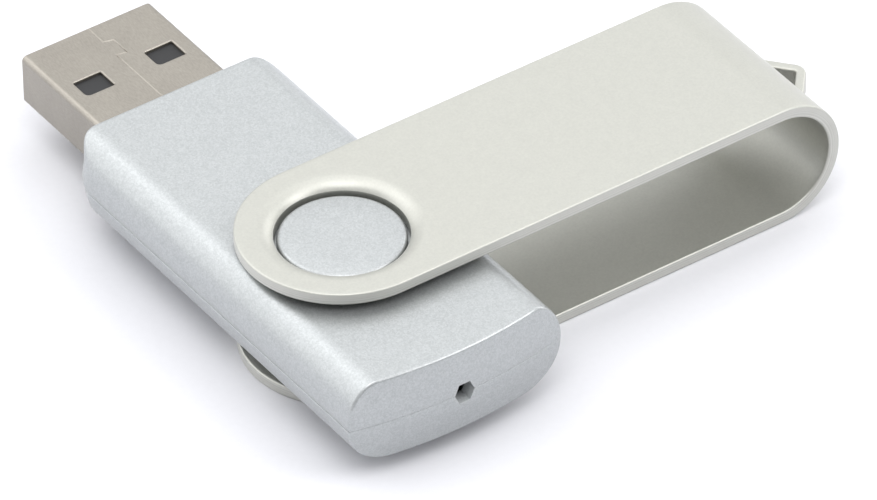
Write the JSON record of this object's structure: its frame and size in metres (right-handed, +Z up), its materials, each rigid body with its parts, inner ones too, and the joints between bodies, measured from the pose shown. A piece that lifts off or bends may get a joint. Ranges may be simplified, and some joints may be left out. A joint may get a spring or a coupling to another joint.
{
  "type": "usb flash drive",
  "caption": "USB flash drive with a silver barrel-sided housing, a type A plug and a bent metal cover that swivels on round pivot buttons and ends in a lanyard eye.",
  "frame": {"origin": "ground point under the middle of the bounding box, with the cover swung a quarter turn out", "axes": "-X along the plug to its mouth, +Y along the swung-out cover to its eye, +Z up along the pivot axis"},
  "size_m": [0.0514, 0.0528, 0.0109],
  "materials": {
    "silver_paint": "fine metallic silver paint on moulded plastic",
    "cover_sheet": "satin anodised, warm pale silver",
    "plug_steel": "nickel plated, faintly brushed",
    "black_plastic": "moulded black",
    "contact_metal": "gold plated",
    "board": "green solder mask",
    "chip_resin": "moulded resin",
    "crystal_can": "drawn metal can",
    "lamp_resin": "clear resin",
    "capacitor_body": "ceramic",
    "resistor_body": "ceramic"
  },
  "bodies": {
    "housing": {"upper_shell": "silver_paint", "lower_shell": "silver_paint", "plug_shell": "plug_steel", "plug_insulator": "black_plastic", "contact_1": "contact_metal", "contact_2": "contact_metal", "contact_3": "contact_metal", "contact_4": "contact_metal", "circuit_board": "board", "flash_chip": "chip_resin", "controller_chip": "chip_resin", "crystal": "crystal_can", "regulator": "chip_resin", "status_lamp": "lamp_resin", "capacitor_1": "capacitor_body", "capacitor_2": "capacitor_body", "capacitor_3": "capacitor_body", "capacitor_4": "capacitor_body", "capacitor_5": "capacitor_body", "resistor_1": "resistor_body", "resistor_2": "resistor_body", "resistor_3": "resistor_body", "resistor_4": "resistor_body"},
    "cover": {"swivel_cover": "cover_sheet"}
  },
  "joints": [
    {"name": "swivel", "type": "hinge", "parent": "housing", "child": "cover", "pos_m": [0.0096, -0.01665, 0.00545], "axis": [0, 0, 1], "continuous": true}
  ]
}
